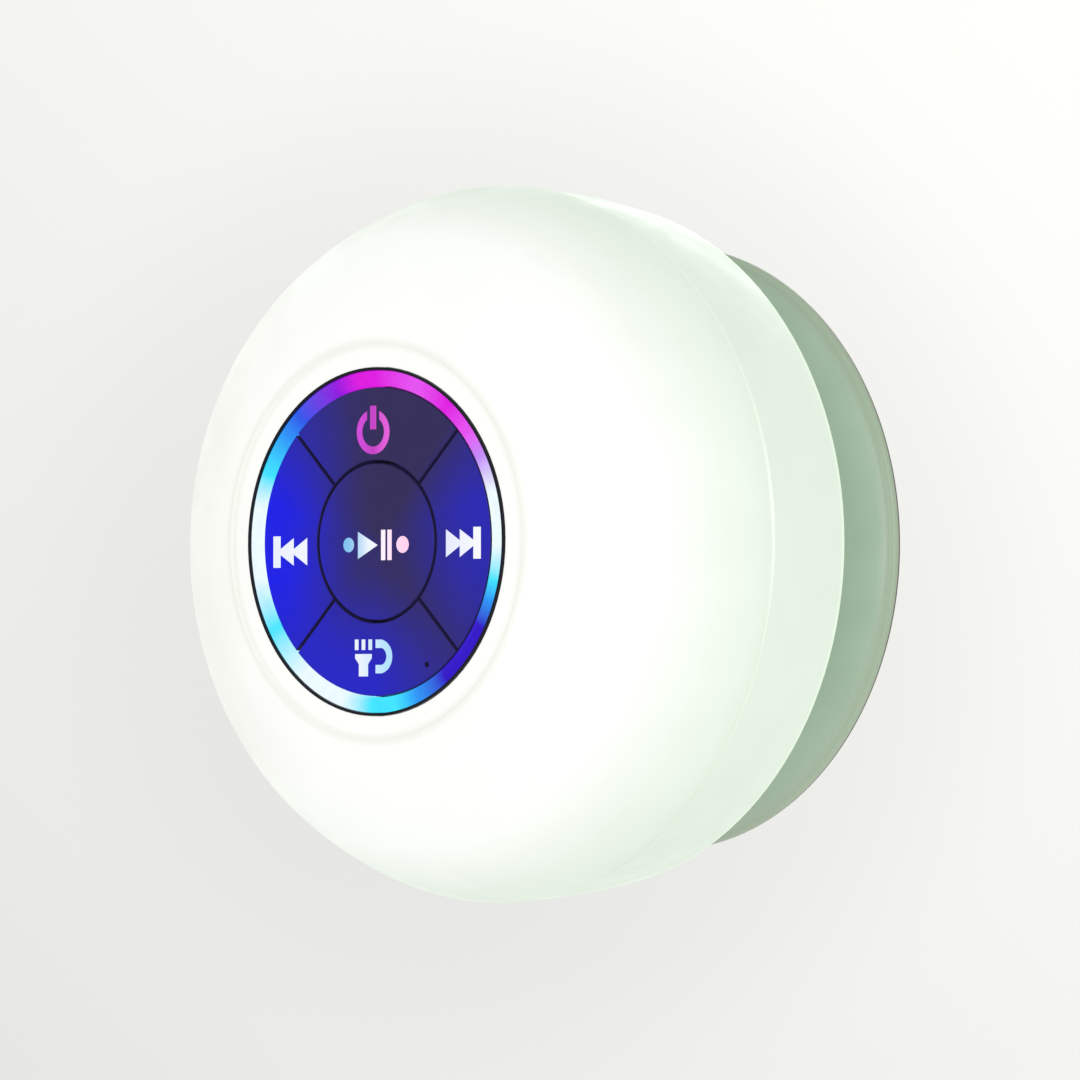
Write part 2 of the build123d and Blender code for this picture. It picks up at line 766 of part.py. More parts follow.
with BuildPart() as port_cover:
    band_skin()
    with BuildSketch(outward(port_floor_x - fit_gap)):
        RectangleRounded(*flap_size, 1.6)
    extrude(amount=4.0, mode=Mode.INTERSECT)
    with BuildSketch(outward(port_floor_x + 0.8)):
        RectangleRounded(port_size[0] - 2 * flap_gap, port_size[1] - 2 * flap_gap, 1.2)
    extrude(amount=1.2)
    studs([(hinge_x, hinge_z)], port_station - 1.6, port_station + 1.6, hinge_bead_r)
port_cover.part.label = "port_cover"
export_step(port_cover.part, "parts/port_cover.step")

with BuildPart() as port_cover_anchor:
    band_skin()
    with BuildSketch(outward(port_floor_x - fit_gap)):
        with Locations((anchor_z, 0)):
            RectangleRounded(*anchor_size, 1.15)
    extrude(amount=4.0, mode=Mode.INTERSECT)
    with BuildSketch(outward(-37.8)):
        with Locations((anchor_z, 0)):
            Circle(0.85)
    extrude(amount=2.8)
    with BuildSketch(outward(-37.3)):
        with Locations((anchor_z, 0)):
            Circle(1.2)
    extrude(amount=0.8)
port_cover_anchor.part.label = "port_cover_anchor"
export_step(port_cover_anchor.part, "parts/port_cover_anchor.step")
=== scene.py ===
from math import atan2, cos, hypot, pi, radians, sin

import bmesh
import bpy
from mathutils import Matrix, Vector


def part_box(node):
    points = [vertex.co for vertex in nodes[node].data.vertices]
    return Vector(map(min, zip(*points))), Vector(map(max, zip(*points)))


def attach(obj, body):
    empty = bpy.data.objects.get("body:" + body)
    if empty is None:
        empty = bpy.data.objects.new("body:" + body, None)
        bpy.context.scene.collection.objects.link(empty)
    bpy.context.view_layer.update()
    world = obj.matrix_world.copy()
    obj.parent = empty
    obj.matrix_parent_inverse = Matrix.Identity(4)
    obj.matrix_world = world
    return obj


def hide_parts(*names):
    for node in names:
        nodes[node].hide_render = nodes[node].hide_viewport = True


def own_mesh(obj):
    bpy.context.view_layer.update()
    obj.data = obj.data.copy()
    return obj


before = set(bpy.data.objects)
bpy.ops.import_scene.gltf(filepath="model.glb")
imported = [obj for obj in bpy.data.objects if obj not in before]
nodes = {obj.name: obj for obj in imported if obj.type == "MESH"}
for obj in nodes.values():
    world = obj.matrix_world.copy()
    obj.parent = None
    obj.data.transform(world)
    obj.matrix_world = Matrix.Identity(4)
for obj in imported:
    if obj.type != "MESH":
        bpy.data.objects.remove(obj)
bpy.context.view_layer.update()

# A lit shower speaker on its suction cup. Metres. The wall is Y = 0 and the key panel faces -Y.
# A station is the distance from the wall, so a station s lies at Y = -s.

scene = bpy.context.scene

MM = 0.001
cup_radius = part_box("suction_cup")[1].x
neck_station = -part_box("suction_cup")[0].y
rear_edge_station = 15.5 * MM
seam_station = -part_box("front_dome")[1].y
front_station = -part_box("bezel")[0].y
land_radius = 23.5 * MM


# ---- Camera ----------------------------------------------------------------------------------

VIEW_AZIMUTH = radians(42.0)
VIEW_ELEVATION = radians(-1.15)
VIEW_DISTANCE = 1.3
VIEW_LENS = 358.3
SENSOR = 36
FAR_CLIP = 20
AIM_LEFT = 5.5 * MM
AIM_UP = 0.74 * MM

camera_right = Vector((cos(VIEW_AZIMUTH), sin(VIEW_AZIMUTH), 0))
toward_camera = Vector((
    sin(VIEW_AZIMUTH) * cos(VIEW_ELEVATION), -cos(VIEW_AZIMUTH) * cos(VIEW_ELEVATION), sin(VIEW_ELEVATION),
))
camera_up = toward_camera.cross(camera_right)
view_aim = Vector((0, -rear_edge_station, 0)) - camera_right * AIM_LEFT + camera_up * AIM_UP


def make_camera():
    """Camera at the height of the axis, looking at the panel from the user's right."""
    data = bpy.data.cameras.new("camera")
    data.lens = VIEW_LENS
    data.sensor_width = SENSOR
    data.clip_end = FAR_CLIP
    camera = bpy.data.objects.new("camera", data)
    scene.collection.objects.link(camera)
    camera.location = view_aim + toward_camera * VIEW_DISTANCE
    camera.rotation_euler = (-toward_camera).to_track_quat("-Z", "Y").to_euler()
    scene.camera = camera


# ---- Shader helpers --------------------------------------------------------------------------

def srgb(red, green, blue):
    """Linear colour of an 8-bit display colour."""
    linear = []
    for value in (red, green, blue):
        share = value / 255
        linear.append(share / 12.92 if share <= 0.04045 else ((share + 0.055) / 1.055) ** 2.4)
    return (*linear, 1)


def add(tree, kind, **values):
    """New shader node, with its properties and its unlinked inputs set by name."""
    node = tree.nodes.new(kind)
    for key, value in values.items():
        if hasattr(node, key):
            setattr(node, key, value)
        else:
            node.inputs[key.replace("_", " ")].default_value = value
    return node


def position(tree):
    """Object coordinates, which are the speaker's own frame on every piece."""
    return add(tree, "ShaderNodeTexCoord").outputs["Object"]


def ramp(tree, source, stops):
    """Colour ramp. Each stop is (place from 0 to 1, linear colour)."""
    node = add(tree, "ShaderNodeValToRGB")
    elements = node.color_ramp.elements
    while len(elements) < len(stops):
        elements.new(0.5)
    for element, (place, colour) in zip(elements, sorted(stops, key=lambda stop: stop[0])):
        element.position = place
        element.color = colour
    tree.links.new(source, node.inputs["Fac"])
    return node.outputs["Color"]


def spread(tree, source, low, high, to_low=0.0, to_high=1.0, kind="SMOOTHSTEP"):
    """Value mapped from one range to another, held at the ends."""
    node = add(tree, "ShaderNodeMapRange", interpolation_type=kind)
    for name, value in (("From Min", low), ("From Max", high), ("To Min", to_low), ("To Max", to_high)):
        node.inputs[name].default_value = value
    tree.links.new(source, node.inputs["Value"])
    return node.outputs["Result"]


def coordinate(tree, axis):
    """One object coordinate."""
    split = add(tree, "ShaderNodeSeparateXYZ")
    tree.links.new(position(tree), split.inputs[0])
    return split.outputs[axis]


def axis_radius(tree):
    """Distance from the speaker's axis."""
    flat = add(tree, "ShaderNodeVectorMath", operation="MULTIPLY")
    flat.inputs[1].default_value = (1, 0, 1)
    tree.links.new(position(tree), flat.inputs[0])
    length = add(tree, "ShaderNodeVectorMath", operation="LENGTH")
    tree.links.new(flat.outputs[0], length.inputs[0])
    return length.outputs["Value"]


def axis_turn(tree):
    """Turn about the axis, 0 to 1 anticlockwise from the user's left."""
    split = add(tree, "ShaderNodeSeparateXYZ")
    join = add(tree, "ShaderNodeCombineXYZ")
    gradient = add(tree, "ShaderNodeTexGradient", gradient_type="RADIAL")
    tree.links.new(position(tree), split.inputs[0])
    tree.links.new(split.outputs["X"], join.inputs["X"])
    tree.links.new(split.outputs["Z"], join.inputs["Y"])
    tree.links.new(join.outputs[0], gradient.inputs[0])
    return gradient.outputs["Fac"]


def clock(degrees):
    """Place on axis_turn of an angle read clockwise from the top."""
    return ((270 - degrees) / 360) % 1


def normal_y(tree):
    """How far a face looks along the axis: 1 at the wall, -1 at the user, 0 on side walls."""
    split = add(tree, "ShaderNodeSeparateXYZ")
    tree.links.new(add(tree, "ShaderNodeTexCoord").outputs["Normal"], split.inputs[0])
    return split.outputs["Y"]


def front_facing(tree):
    """1 on faces that look at the user along the axis, 0 on side walls."""
    return spread(tree, normal_y(tree), -0.35, -0.92)


def wall_facing(tree):
    """1 on faces that look at the wall, 0 on the rest."""
    return spread(tree, normal_y(tree), 0.05, 0.3)


def combine(tree, operation, first, second=None):
    """Arithmetic on one or two values; each is an output or a constant."""
    node = add(tree, "ShaderNodeMath", operation=operation)
    for value, slot in ((first, 0), (second, 1)):
        if isinstance(value, bpy.types.NodeSocket):
            tree.links.new(value, node.inputs[slot])
        elif value is not None:
            node.inputs[slot].default_value = value
    return node.outputs[0]


def mix(tree, amount, first, second, mode="MIX"):
    """Colour mix; each colour is an output or a constant."""
    node = add(tree, "ShaderNodeMix", data_type="RGBA", blend_type=mode)
    for value, slot in ((amount, 0), (first, 6), (second, 7)):
        if isinstance(value, bpy.types.NodeSocket):
            tree.links.new(value, node.inputs[slot])
        else:
            node.inputs[slot].default_value = value
    return node.outputs[2]


def noise(tree, size, detail=3.0, stretch=(1, 1, 1)):
    """Noise whose features are about size metres across."""
    place = add(tree, "ShaderNodeMapping")
    place.inputs["Scale"].default_value = stretch
    tree.links.new(position(tree), place.inputs["Vector"])
    node = add(tree, "ShaderNodeTexNoise", Scale=1 / size, Detail=detail)
    tree.links.new(place.outputs[0], node.inputs["Vector"])
    return node.outputs["Fac"]


def bump(tree, shader, height, depth, strength=1.0):
    """Bump of a given depth in metres."""
    node = add(tree, "ShaderNodeBump", Strength=strength, Distance=depth)
    tree.links.new(height, node.inputs["Height"])
    tree.links.new(node.outputs[0], shader.inputs["Normal"])


def surface(
    name, colour, rough, tone=0.06, mottle=4 * MM, grain=0.12 * MM, depth=0.004 * MM, stretch=(1, 1, 1),
    **constants,
):
    """Moulded or machined surface: mottled colour, uneven gloss and a fine grain.

    tone is the share by which the colour varies, mottle and grain are sizes and depth is the grain's height.
    Further values are inputs of the shader. Returns the material, its node tree and its shader.
    """
    material = bpy.data.materials.new(name)
    material.use_nodes = True
    tree = material.node_tree
    shader = tree.nodes["Principled BSDF"]
    for key, value in constants.items():
        shader.inputs[key.replace("_", " ")].default_value = value
    patches = noise(tree, mottle, 4.0, stretch)
    dark = tuple(c * (1 - tone) for c in colour[:3]) + (1,)
    light = tuple(min(1, c * (1 + tone)) for c in colour[:3]) + (1,)
    tree.links.new(ramp(tree, patches, [(0.3, dark), (0.7, light)]), shader.inputs["Base Color"])
    gloss = noise(tree, mottle * 0.6, 2.0, stretch)
    roughness = spread(tree, gloss, 0.3, 0.7, rough * 0.85, min(1, rough * 1.15))
    tree.links.new(roughness, shader.inputs["Roughness"])
    bump(tree, shader, noise(tree, grain, 2.0, stretch), depth)
    material.diffuse_color = colour
    return material, tree, shader


def plain(*args, **kwargs):
    """A surface whose node tree needs nothing more."""
    return surface(*args, **kwargs)[0]


# ---- Materials of the outside ----------------------------------------------------------------

WHITE = (1, 1, 1, 1)


def dome_material():
    """Milky diffuser that glows: whitest in front, greener towards the seam, with painted shade that makes it
    darker and warmer on the left and a little darker along the land's crease.
    """
    material, tree, shader = surface(
        "milky_dome", srgb(160, 161, 158), 0.45, tone=0.03, mottle=9 * MM, grain=0.25 * MM, depth=0.002 * MM,
        Specular_IOR_Level=0.2,
    )
    forward = spread(tree, coordinate(tree, "Y"), -seam_station, -front_station, kind="LINEAR")
    lit = ramp(tree, forward, [
        (0.0, (0.43, 0.515, 0.42, 1)), (0.3, (0.48, 0.54, 0.475, 1)), (0.52, (0.54, 0.585, 0.54, 1)),
        (0.7, (0.61, 0.63, 0.605, 1)), (1.0, (0.62, 0.62, 0.61, 1)),
    ])
    # Painted shade: darker and warmer towards the left shoulder.
    leftward = spread(tree, coordinate(tree, "X"), -10 * MM, -38 * MM)
    painted_left_shade = mix(tree, leftward, WHITE, (0.9, 0.88, 0.845, 1))
    glow = mix(tree, 1.0, lit, painted_left_shade, "MULTIPLY")
    # Painted shade: a faint darker ring along the crease at the land's edge.
    from_crease = combine(tree, "ABSOLUTE", combine(tree, "SUBTRACT", axis_radius(tree), land_radius))
    crease_shade = spread(tree, from_crease, 0.2 * MM, 1.1 * MM, 1.0, 0.0)
    crease_shaded = mix(tree, crease_shade, WHITE, (0.86, 0.87, 0.82, 1))
    tree.links.new(mix(tree, 1.0, glow, crease_shaded, "MULTIPLY"), shader.inputs["Emission Color"])
    shader.inputs["Emission Strength"].default_value = 1.0
    return material


def band_material():
    """Rear shell: the same plastic with a painted glow, a little greener and dimmer, a painted highlight on
    the rim and painted shade on the back edge.
    """
    material, tree, shader = surface(
        "rear_band", srgb(158, 162, 157), 0.4, tone=0.03, mottle=8 * MM, grain=0.2 * MM, depth=0.003 * MM,
        Coat_Weight=0.1, Coat_Roughness=0.3, IOR=1.46,
    )
    # Painted light: the shell is no lamp, yet its emission stands in for the studio light on it.
    station = coordinate(tree, "Y")
    # Painted highlight: a brighter strip where the rounded rim catches light.
    rim = spread(tree, station, -rear_edge_station - 1.2 * MM, -rear_edge_station - 0.3 * MM)
    glow = mix(tree, rim, (0.41, 0.49, 0.405, 1), (0.47, 0.59, 0.43, 1))
    # Painted shade: the glow drops to a dark line on the back edge itself.
    edge = spread(tree, station, -rear_edge_station - 0.25 * MM, -rear_edge_station - 0.1 * MM)
    glow = mix(tree, edge, glow, (0.2, 0.21, 0.14, 1))
    tree.links.new(glow, shader.inputs["Emission Color"])
    shader.inputs["Emission Strength"].default_value = 1.0
    return material


def cup_material():
    """Grey-green translucent rubber, warmer at the lip, with a thin dark line round the lip's foot; a painted
    glow, brighter low down, stands in for light, and painted shade darkens the mouth's hollow, where the stud
    shows at the centre.
    """
    material, tree, shader = surface(
        "cup_rubber", srgb(124, 142, 125), 0.45, tone=0.05, mottle=7 * MM, grain=0.3 * MM, depth=0.006 * MM,
        Subsurface_Weight=0.15, Subsurface_Scale=0.003, Coat_Weight=0.1, Coat_Roughness=0.3, IOR=1.42,
    )
    edge = spread(tree, axis_radius(tree), cup_radius - 1.6 * MM, cup_radius - 0.6 * MM)
    patches = noise(tree, 7 * MM, 3.0)
    body = ramp(tree, patches, [(0.3, srgb(121, 139, 122)), (0.7, srgb(128, 146, 129))])
    lip = mix(tree, edge, body, srgb(124, 137, 118))
    foot = spread(tree, coordinate(tree, "Y"), -0.5 * MM, -0.25 * MM)
    outermost = spread(tree, axis_radius(tree), cup_radius - 0.3 * MM, cup_radius - 0.15 * MM)
    line = combine(tree, "MULTIPLY", foot, outermost)
    # Painted shade in the mouth's hollow: darkest at the roof's corner, lightening towards the sealing land;
    # the stud shows lighter at the centre.
    mouth = wall_facing(tree)
    through = spread(tree, axis_radius(tree), 0, cup_radius, kind="LINEAR")
    dish = ramp(tree, through, [
        (0.0, srgb(150, 160, 148)), (0.18, srgb(144, 154, 142)), (0.2, srgb(74, 90, 78)),
        (0.245, srgb(78, 95, 82)), (0.27, srgb(92, 110, 95)), (0.7, srgb(112, 131, 114)),
        (0.94, srgb(126, 145, 127)), (0.96, srgb(148, 164, 147)),
    ])
    colour = mix(tree, mouth, lip, mix(tree, 0.25, dish, body))
    tree.links.new(mix(tree, line, colour, srgb(52, 48, 42)), shader.inputs["Base Color"])
    # Painted light: the rubber is no lamp, yet it glows, brighter low down to even out the shade under the
    # speaker, and dimly inside the mouth.
    low = spread(tree, coordinate(tree, "Z"), -6 * MM, -32 * MM)
    skirt_painted_light = mix(tree, low, (0.128, 0.168, 0.13, 1), (0.168, 0.208, 0.165, 1))
    outer = mix(tree, mouth, skirt_painted_light, (0.012, 0.016, 0.012, 1))
    glow = mix(tree, line, outer, (0.01, 0.01, 0.008, 1))
    tree.links.new(glow, shader.inputs["Emission Color"])
    shader.inputs["Emission Strength"].default_value = 1.0
    return material


MAGENTA = srgb(220, 24, 222)
PINK = srgb(228, 84, 240)
LILAC = srgb(190, 136, 246)
ICE = srgb(235, 248, 253)
CYAN = srgb(64, 226, 254)
AZURE = srgb(45, 150, 245)
BLUE = srgb(46, 85, 232)
INDIGO = srgb(50, 20, 198)
VIOLET = srgb(142, 22, 220)

# The ring's hues by the angle clockwise from the top.
RING_HUES = {
    0: MAGENTA, 20: PINK, 36: MAGENTA, 50: PINK, 60: LILAC, 74: ICE, 92: ICE, 104: CYAN, 111: AZURE,
    121: INDIGO, 145: INDIGO, 160: AZURE, 170: CYAN, 182: CYAN, 196: ICE, 216: ICE, 238: CYAN, 258: ICE,
    283: ICE, 295: CYAN, 311: AZURE, 321: BLUE, 341: VIOLET, 352: MAGENTA,
}


def light_ring_material():
    """Frosted light pipe whose lamps shade from magenta through white and cyan to blue."""
    material, tree, shader = surface(
        "light_ring", srgb(10, 10, 14), 0.4, mottle=3 * MM, depth=0.002 * MM, Specular_IOR_Level=0.03,
    )
    stops = [(clock(angle), hue) for angle, hue in RING_HUES.items()]
    glow = ramp(tree, axis_turn(tree), [(0.0, ICE), *stops, (1.0, ICE)])
    frost = spread(tree, noise(tree, 1.2 * MM), 0.3, 0.7, 0.94, 1.0)
    shade = add(tree, "ShaderNodeCombineColor")
    for channel in range(3):
        tree.links.new(frost, shade.inputs[channel])
    tree.links.new(mix(tree, 1.0, glow, shade.outputs[0], "MULTIPLY"), shader.inputs["Emission Color"])
    shader.inputs["Emission Strength"].default_value = 1.06
    return material


# Share of the ring's blue painted onto the keys as painted light, by the angle clockwise from the top.
KEY_PAINTED_RING_LIGHT = {
    0: 0.0, 40: 0.0, 75: 0.5, 105: 0.42, 135: 0.12, 150: 0.25, 180: 0.64, 225: 0.64, 255: 1.0, 285: 1.0,
    315: 0.4, 345: 0.05,
}


def key_material():
    """Indigo key caps with painted light: a painted glow plus the ring's blue painted on, most on the left;
    their side walls get a dimmer painted glow and stay dark.
    """
    material, tree, shader = surface(
        "key_cap", srgb(18, 14, 28), 0.5, tone=0.15, mottle=2 * MM, grain=0.1 * MM, depth=0.003 * MM,
        Specular_IOR_Level=0.08,
    )
    stops = [(clock(angle), (share, share, share, 1)) for angle, share in KEY_PAINTED_RING_LIGHT.items()]
    left = (0.95, 0.95, 0.95, 1)
    around = ramp(tree, axis_turn(tree), [(0.0, left), *stops, (1.0, left)])
    outward = spread(tree, axis_radius(tree), 2 * MM, 17 * MM, 0.1, 1.0)
    amount = combine(tree, "MULTIPLY", around, outward)
    # Painted light: the keys are no lamps; their faces get a dim indigo glow with the ring's blue painted
    # across it.
    glow = mix(tree, amount, srgb(46, 40, 86), srgb(10, 22, 236))
    faces = mix(tree, front_facing(tree), srgb(24, 20, 50), glow)
    tree.links.new(faces, shader.inputs["Emission Color"])
    shader.inputs["Emission Strength"].default_value = 0.93
    return material


def symbol_material(name, colours):
    """Lit inlay whose colour runs from left to right between the given display colours."""
    low, high = (corner.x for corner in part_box(name))
    material, tree, shader = surface(
        f"{name}_light", srgb(40, 40, 44), 0.4, mottle=1 * MM, depth=0.001 * MM, Specular_IOR_Level=0.1,
    )
    across = spread(tree, coordinate(tree, "X"), low, high)
    stops = [(i / (len(colours) - 1), srgb(*colour)) for i, colour in enumerate(colours)]
    tree.links.new(ramp(tree, across, stops), shader.inputs["Emission Color"])
    shader.inputs["Emission Strength"].default_value = 1.0
    return material


SYMBOL_COLOURS = {
    "symbol_power": [(205, 60, 215), (190, 45, 190), (225, 85, 215)],
    "symbol_previous": [(232, 238, 253), (238, 242, 255)],
    "symbol_next": [(228, 232, 250), (245, 247, 255)],
    "symbol_lamp": [(235, 240, 255), (205, 232, 255), (175, 222, 252)],
    "symbol_play": [(120, 190, 235), (235, 243, 253), (252, 240, 252), (255, 205, 234)],
}

outside = {
    "front_dome": dome_material(),
    "rear_shell": band_material(),
    "bezel": plain("bezel_black", srgb(9, 12, 26), 0.4, depth=0.002 * MM, Specular_IOR_Level=0.15),
    "light_ring": light_ring_material(),
    "key_membrane": plain("membrane_dark", srgb(26, 20, 56), 0.6, grain=0.2 * MM),
    "stud_retainer": plain("retainer_grey", srgb(196, 205, 195), 0.42, mottle=3 * MM),
    "cup_stud": plain("stud_white", srgb(214, 222, 212), 0.35, mottle=3 * MM),
    "port_cover": plain("port_rubber", srgb(214, 228, 213), 0.6, grain=0.3 * MM, depth=0.01 * MM),
}
outside["port_cover_anchor"] = outside["port_cover"]
key_caps = key_material()
for cap in ("play", "power", "next", "lamp", "previous"):
    outside[f"key_{cap}"] = key_caps
for symbol_node, colours in SYMBOL_COLOURS.items():
    outside[symbol_node] = symbol_material(symbol_node, colours)

# ---- Materials of the inside -----------------------------------------------------------------

steel = plain(
    "zinc_steel", srgb(176, 178, 182), 0.3, mottle=1.5 * MM, grain=0.15 * MM, depth=0.004 * MM,
    stretch=(1, 4, 1), Metallic=1.0,
)
tinned = plain("tinned_shield", srgb(190, 191, 188), 0.35, mottle=2 * MM, stretch=(3, 1, 1), Metallic=1.0)
solder_mask = plain(
    "solder_mask", srgb(20, 84, 50), 0.35, tone=0.2, mottle=2.5 * MM, grain=0.5 * MM, Coat_Weight=0.4,
)
chip = plain("moulded_chip", srgb(30, 30, 33), 0.55, grain=0.08 * MM, depth=0.008 * MM)
black_plastic = plain("black_plastic", srgb(28, 29, 32), 0.45, grain=0.15 * MM, depth=0.008 * MM)
silicone = plain(
    "clear_silicone", srgb(214, 220, 214), 0.4, mottle=5 * MM, Subsurface_Weight=0.3, Subsurface_Scale=0.002,
)
foam = plain("open_foam", srgb(52, 52, 56), 0.95, tone=0.3, mottle=0.6 * MM, grain=0.4 * MM, depth=0.12 * MM)
weave = plain(
    "woven_mesh", srgb(24, 24, 27), 0.8, tone=0.5, mottle=0.35 * MM, grain=0.3 * MM, depth=0.05 * MM,
)
pulp = plain(
    "pressed_pulp", srgb(36, 36, 38), 0.8, tone=0.25, mottle=0.8 * MM, grain=0.2 * MM, depth=0.03 * MM,
)
resin_cloth = plain(
    "resin_cloth", srgb(196, 142, 66), 0.6, tone=0.2, mottle=0.5 * MM, grain=0.25 * MM, depth=0.03 * MM,
)
copper = plain("enamelled_copper", srgb(190, 104, 52), 0.3, mottle=0.4 * MM, stretch=(1, 12, 1), Metallic=1.0)
ferrite = plain("sintered_ferrite", srgb(58, 58, 62), 0.55, mottle=1.2 * MM, grain=0.2 * MM, depth=0.01 * MM)
foil = plain(
    "foil_pouch", srgb(188, 190, 194), 0.32, mottle=3 * MM, grain=1.5 * MM, depth=0.02 * MM, Metallic=0.8,
)
black_rubber = plain("black_rubber", srgb(30, 30, 32), 0.7, grain=0.25 * MM, depth=0.01 * MM)
lamp_resin = plain("lamp_resin", srgb(236, 232, 190), 0.2, mottle=1 * MM, Coat_Weight=0.5)


def insulation(name, low_colour, high_colour, axis, middle):
    """Two-colour insulation of a pair of leads that lie each side of middle on one axis."""
    material, tree, shader = surface(name, srgb(*low_colour), 0.4, mottle=2 * MM)
    side = spread(tree, coordinate(tree, axis), middle - 0.2 * MM, middle + 0.2 * MM)
    tree.links.new(mix(tree, side, srgb(*low_colour), srgb(*high_colour)), shader.inputs["Base Color"])
    return material


RED = (178, 24, 20)
BLACK = (24, 24, 26)
speaker_middle = sum(corner.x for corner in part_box("speaker_leads")) / 2
inside = {
    steel: ["retainer_screws", "housing_screws", "carrier_screws", "board_screws", "driver_screws",
            "charge_board_screws", "top_plate", "yoke"],
    tinned: ["wireless_module", "charge_socket", "microphone"],
    solder_mask: ["control_board", "main_board", "charge_board", "terminal_strip"],
    chip: ["amplifier_chip", "board_connector", "tact_switches"],
    black_plastic: ["panel_carrier", "driver_basket"],
    silicone: ["seam_gasket"],
    foam: ["battery_pad", "driver_gasket"],
    weave: ["acoustic_mesh"],
    pulp: ["cone", "dust_cap"],
    resin_cloth: ["spider", "coil_former"],
    copper: ["voice_coil"],
    ferrite: ["magnet"],
    foil: ["battery"],
    black_rubber: ["cone_surround", "microphone_boot"],
    lamp_resin: ["ring_lamps", "dome_lamps"],
    insulation("battery_insulation", BLACK, RED, "X", 0): ["battery_leads"],
    insulation("charge_insulation", BLACK, RED, "Z", 0): ["charge_leads"],
    insulation("speaker_insulation", BLACK, RED, "X", speaker_middle): ["speaker_leads"],
}


def dress(obj, material):
    """One material on the whole piece."""
    obj.data.materials.clear()
    obj.data.materials.append(material)
    for face in obj.data.polygons:
        face.material_index = 0


for node_name, material in outside.items():
    dress(nodes[node_name], material)
for material, members in inside.items():
    for node_name in members:
        dress(nodes[node_name], material)


# ---- Suction cup -----------------------------------------------------------------------------

def arc_through(start, middle, end, count):
    """Points on the circle through three points, from start to end."""
    (ax, ay), (bx, by), (cx, cy) = start, middle, end
    d = 2 * (ax * (by - cy) + bx * (cy - ay) + cx * (ay - by))
    a2, b2, c2 = ax * ax + ay * ay, bx * bx + by * by, cx * cx + cy * cy
    ux = (a2 * (by - cy) + b2 * (cy - ay) + c2 * (ay - by)) / d
    uy = (a2 * (cx - bx) + b2 * (ax - cx) + c2 * (bx - ax)) / d
    radius = hypot(ax - ux, ay - uy)
    first, last = atan2(ay - uy, ax - ux), atan2(cy - uy, cx - ux)
    turn = (last - first + pi) % (2 * pi) - pi
    return [
        (ux + radius * cos(first + turn * i / count), uy + radius * sin(first + turn * i / count))
        for i in range(count + 1)
    ]


SEGMENTS = 240
SHARP_EDGE = radians(40)


def lathe(name, profile):
    """Closed turned mesh about the speaker's axis from (radius, station) points in millimetres."""
    mesh = bpy.data.meshes.new(name)
    bm = bmesh.new()
    loops = []
    for r, s in profile:
        if r < 1e-6:
            loops.append([bm.verts.new((0, -s * MM, 0))])
            continue
        loops.append([
            bm.verts.new((r * MM * cos(2 * pi * i / SEGMENTS), -s * MM, r * MM * sin(2 * pi * i / SEGMENTS)))
            for i in range(SEGMENTS)
        ])
    for first, second in zip(loops, loops[1:]):
        for i in range(SEGMENTS):
            j = (i + 1) % SEGMENTS
            corner = [first[i % len(first)], first[j % len(first)]]
            corner += [second[j % len(second)], second[i % len(second)]]
            bm.faces.new(list(dict.fromkeys(corner)))
    bmesh.ops.recalc_face_normals(bm, faces=bm.faces)
    bm.to_mesh(mesh)
    bm.free()
    mesh.shade_smooth()
    mesh.set_sharp_from_angle(angle=SHARP_EDGE)
    obj = bpy.data.objects.new(name, mesh)
    scene.collection.objects.link(obj)
    return obj


def make_cup():
    """Suction cup: smooth dish, grooved sealing land, rounded lip with a step behind it, ribbed neck.

    Its profile is in millimetres and leaves room for the stud's flange.
    """
    rim = cup_radius / MM
    neck = neck_station / MM
    neck_side = 9.0
    stud_hole = 4.6
    flange_side = 7.0
    flange_floor = 9.4
    flange_roof = 10.95
    groove_depth = 0.16
    dish = arc_through((8.0, 7.0), (23.5, 4.3), (rim - 2.0, 0.0), 28)
    lip = [
        (rim - 0.25, 0.0), (rim - 0.08, 0.08), (rim, 0.28), (rim, 0.75), (rim - 0.08, 0.98),
        (rim - 0.26, 1.12), (rim - 0.5, 1.14), (rim - 0.62, 1.24), (rim - 0.68, 1.42), (rim - 0.82, 1.66),
    ]
    skirt = arc_through((rim - 1.05, 1.9), (23.5, 6.55), (10.6, 9.3), 34)
    collar = arc_through((10.3, 9.38), (9.35, 9.85), (neck_side, 10.7), 6)
    top = [
        (neck_side, 11.1), (8.8, 11.2), (8.8, 11.5), (neck_side, 11.6), (neck_side, neck - 0.35),
        (8.9, neck - 0.1), (8.65, neck), (stud_hole + 0.15, neck), (stud_hole, neck - 0.15),
        (stud_hole, flange_roof), (flange_side, flange_roof), (flange_side, flange_floor),
        (0.0, flange_floor),
    ]
    middle = [(0.0, 6.75), (0.9, 6.75), (1.2, 7.0), (7.4, 7.0), (7.7, 6.85)]
    grooves = []
    for inset in (1.45, 0.85):
        grooves += [(rim - inset - 0.1, 0.0), (rim - inset, groove_depth), (rim - inset + 0.1, 0.0)]
    cup = lathe("cup_skirt", [*middle, *dish, *grooves, *lip, *skirt, *collar, *top])
    dress(cup, cup_material())
    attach(cup, "suction_cup")
    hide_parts("suction_cup")
    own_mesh(cup)


make_cup()


# ---- Stage and light -------------------------------------------------------------------------

FLOOR_Z = -0.6
BOWL_RADIUS = 2.6
BOWL_BEND = 1.2
BOWL_TOP = 2.4
SHADE_LOW = (0.712, 0.71, 0.695, 1)
SHADE_HIGH = (0.945, 0.95, 0.91, 1)
SHADE_ROUND = (0.70, 0.70, 0.685, 1)
SHADE_REACH = 0.4
# A painted shadow round the speaker: its inner and outer reach and its darkening.
HALO_INNER = 0.12
HALO_OUTER = 0.2
HALO_PAINTED_SHADOW = (0.93, 0.93, 0.935, 1)
BOWL_BENDS = 12
BOWL_TURNS = 96


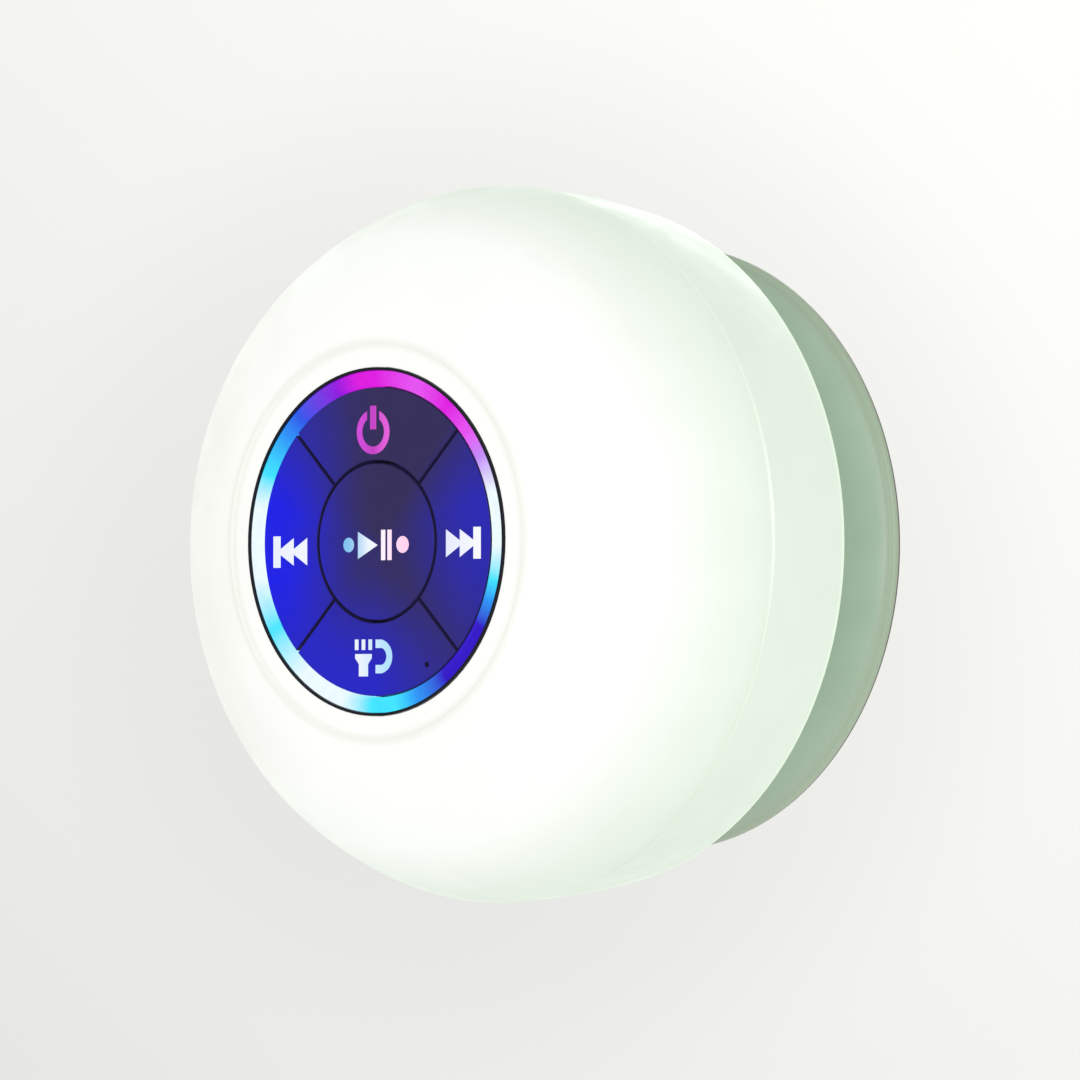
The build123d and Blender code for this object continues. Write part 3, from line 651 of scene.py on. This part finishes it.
def make_backdrop():
    """Pale floor that curves up into a wall all round, with painted shade that makes it darker to the lower
    left and a painted shadow round the speaker.
    """
    mesh = bpy.data.meshes.new("backdrop")
    bm = bmesh.new()
    flat_radius = BOWL_RADIUS - BOWL_BEND
    profile = []
    for i in range(BOWL_BENDS + 1):
        slope = pi / 2 * i / BOWL_BENDS
        profile.append((flat_radius + BOWL_BEND * sin(slope), BOWL_BEND * (1 - cos(slope))))
    profile.append((BOWL_RADIUS, BOWL_TOP))
    loops = []
    for r, z in profile:
        turns = [2 * pi * i / BOWL_TURNS for i in range(BOWL_TURNS)]
        loops.append([bm.verts.new((r * cos(turn), r * sin(turn), FLOOR_Z + z)) for turn in turns])
    bm.faces.new(loops[0])
    for first, second in zip(loops, loops[1:]):
        for i in range(BOWL_TURNS):
            j = (i + 1) % BOWL_TURNS
            bm.faces.new([first[i], first[j], second[j], second[i]])
    bm.to_mesh(mesh)
    bm.free()
    mesh.shade_smooth()
    obj = bpy.data.objects.new("backdrop", mesh)
    scene.collection.objects.link(obj)
    material = bpy.data.materials.new("pale_backdrop")
    material.use_nodes = True
    tree = material.node_tree
    shader = tree.nodes["Principled BSDF"]
    shader.inputs["Roughness"].default_value = 0.9
    shader.inputs["Specular IOR Level"].default_value = 0.0
    shader.inputs["Base Color"].default_value = (0.1, 0.1, 0.098, 1)

    def along(direction):
        """Distance of a place along a direction."""
        node = add(tree, "ShaderNodeVectorMath", operation="DOT_PRODUCT")
        node.inputs[1].default_value = direction
        tree.links.new(position(tree), node.inputs[0])
        return node.outputs["Value"]

    # Painted shade: the backdrop's glow falls off towards the lower left.
    share = spread(tree, along(camera_right + camera_up), -4 * SHADE_REACH, 4 * SHADE_REACH, kind="LINEAR")
    shades = [(0.0, SHADE_ROUND), (0.375, SHADE_LOW), (0.625, SHADE_HIGH), (1.0, SHADE_ROUND)]
    painted_backdrop_shade = ramp(tree, share, shades)
    join = add(tree, "ShaderNodeCombineXYZ")
    for axis, direction in (("X", camera_right), ("Y", camera_up)):
        centred = combine(tree, "SUBTRACT", along(direction), view_aim.dot(direction))
        tree.links.new(centred, join.inputs[axis])
    reach = add(tree, "ShaderNodeVectorMath", operation="LENGTH")
    tree.links.new(join.outputs[0], reach.inputs[0])
    # Painted shadow: a soft darker halo on the backdrop round the speaker's place in the main view.
    halo = spread(tree, reach.outputs["Value"], HALO_INNER, HALO_OUTER)
    painted_halo_shadow = mix(tree, halo, HALO_PAINTED_SHADOW, WHITE)
    tree.links.new(mix(tree, 1.0, painted_backdrop_shade, painted_halo_shadow, "MULTIPLY"), shader.inputs["Emission Color"])
    shader.inputs["Emission Strength"].default_value = 1.0
    obj.data.materials.append(material)


LIGHT_AIM = Vector((0, -0.03, 0))
SKY_STRENGTH = 0.45


def softbox(name, place, size, power, colour=(1, 1, 1)):
    """Square area light aimed at the middle of the speaker."""
    data = bpy.data.lights.new(name, "AREA")
    data.size = size
    data.energy = power
    data.color = colour
    light = bpy.data.objects.new(name, data)
    scene.collection.objects.link(light)
    light.location = place
    light.rotation_euler = (LIGHT_AIM - Vector(place)).to_track_quat("-Z", "Y").to_euler()


def make_light():
    """Even sky, a large key from the right near the camera's height, a weak fill and a light behind."""
    world = bpy.data.worlds.new("studio")
    world.use_nodes = True
    sky = world.node_tree.nodes["Background"]
    sky.inputs["Color"].default_value = WHITE
    sky.inputs["Strength"].default_value = SKY_STRENGTH
    scene.world = world
    softbox("key_light", (1.45, -1.65, 0.16), 1.3, 31)
    softbox("fill_light", (-1.6, 0.3, 0.6), 1.2, 1.2, (1.0, 0.985, 0.96))
    softbox("back_light", (-0.6, 1.5, 0.5), 1.0, 4)


make_camera()
make_backdrop()
make_light()
scene.view_settings.view_transform = "Standard"
